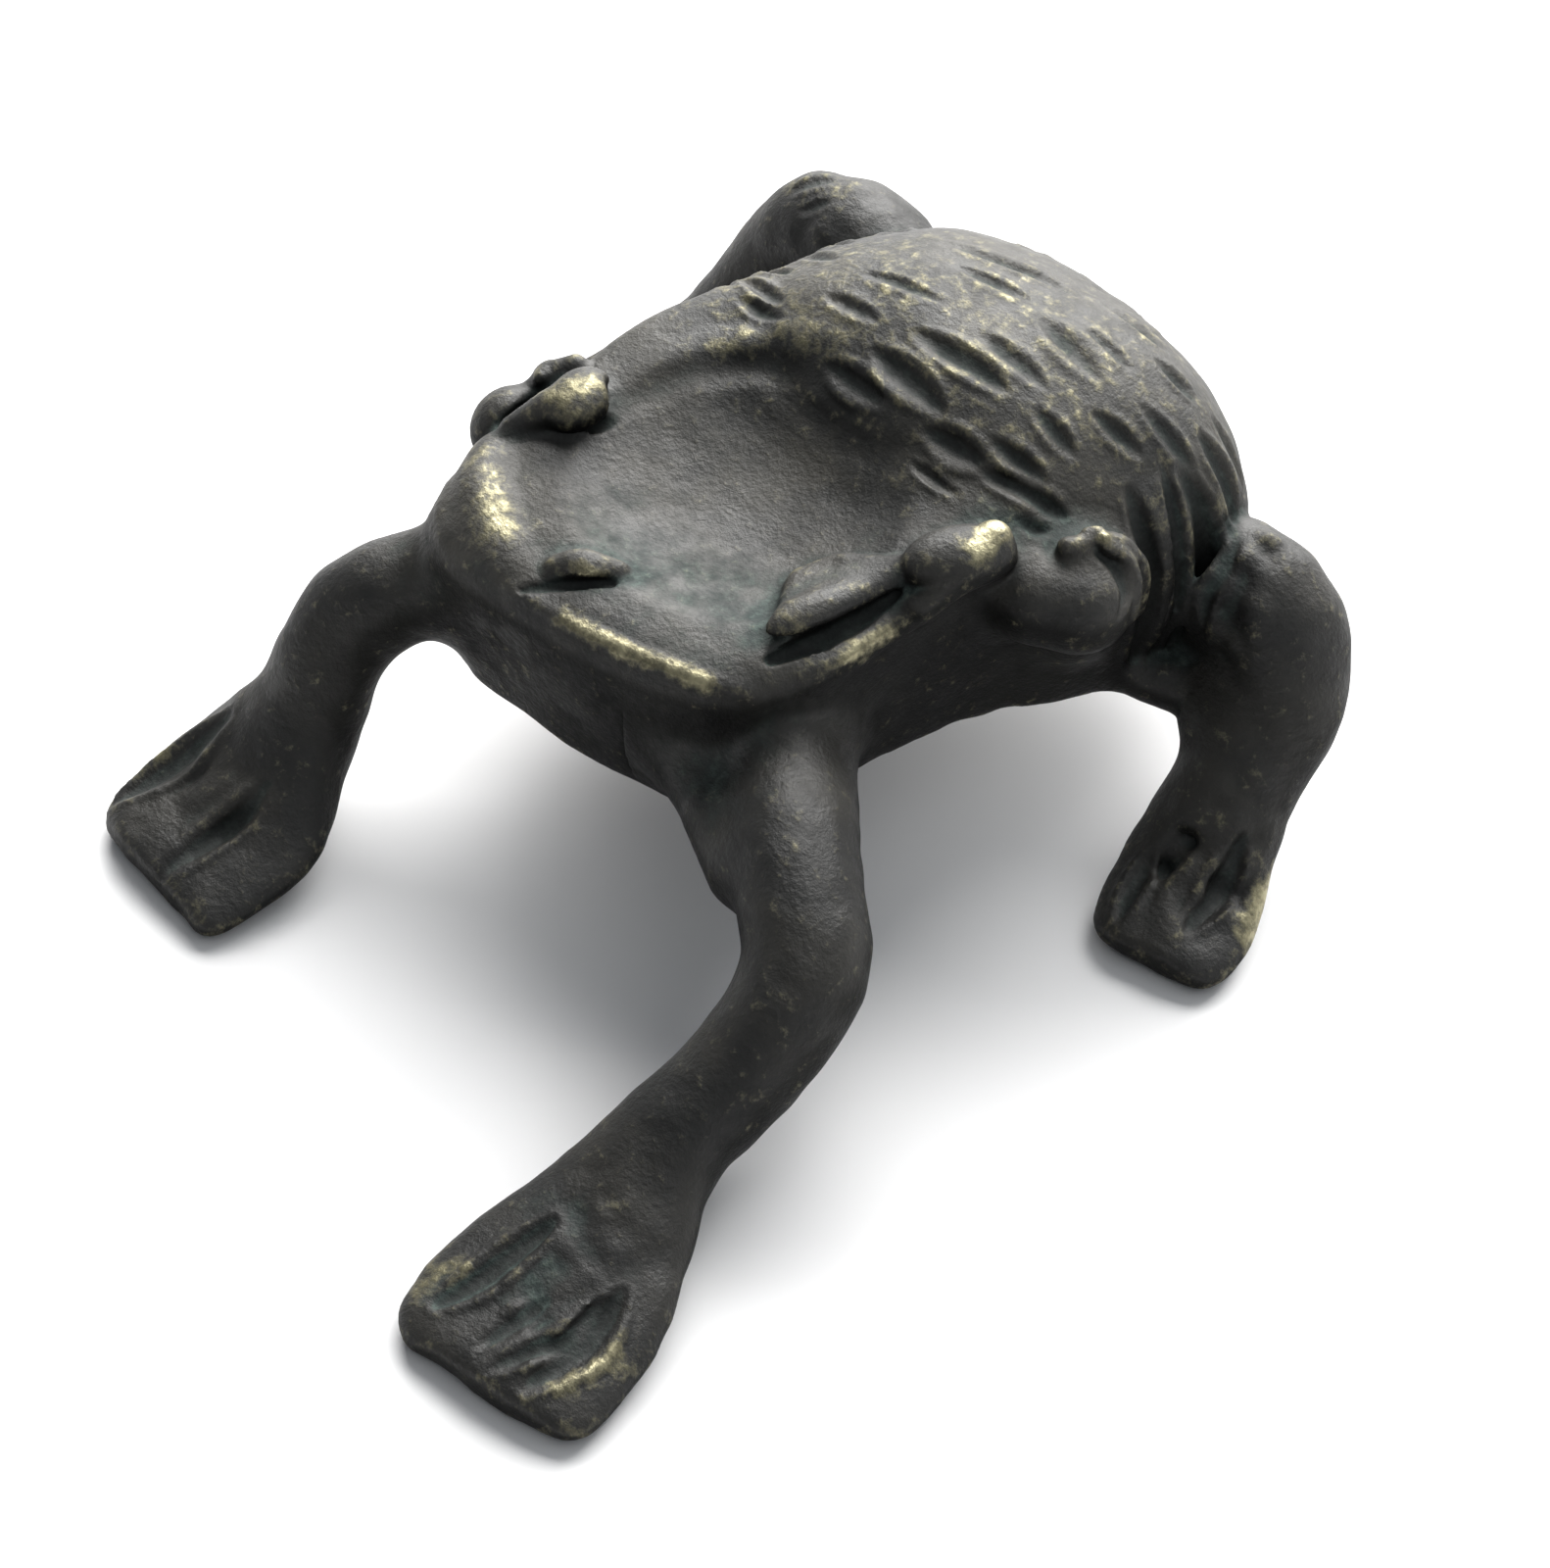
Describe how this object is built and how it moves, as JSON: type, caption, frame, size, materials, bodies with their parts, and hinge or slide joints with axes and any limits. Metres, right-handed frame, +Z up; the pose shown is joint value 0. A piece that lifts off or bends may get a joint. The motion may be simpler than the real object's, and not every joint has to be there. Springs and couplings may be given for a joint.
{
  "type": "cast frog figurine",
  "caption": "Small cast metal frog with a flat dished head, a domed scored back and four pinched feet, hollow and open underneath.",
  "frame": {"origin": "on the ground under the middle of the frog's bounding box", "axes": "+Z up, the frog faces -Y, its left side is +X"},
  "size_m": [0.0584, 0.0666, 0.0254],
  "materials": {
    "shell_bronze": "dark brown patina with green in the hollows",
    "pellet_bronze": "dark patina worn to bare yellow metal on the high spots",
    "leg_bronze": "dark satin patina"
  },
  "bodies": {
    "root": {"torso_shell": "shell_bronze", "head": "shell_bronze", "left_eye": "pellet_bronze", "right_eye": "pellet_bronze", "left_brow": "pellet_bronze", "right_brow": "pellet_bronze", "left_nostril": "pellet_bronze", "right_nostril": "pellet_bronze", "left_eyelid": "pellet_bronze", "right_eyelid": "pellet_bronze", "left_foreleg": "leg_bronze", "right_foreleg": "leg_bronze", "left_hind_leg": "leg_bronze", "right_hind_leg": "leg_bronze"}
  },
  "joints": []
}
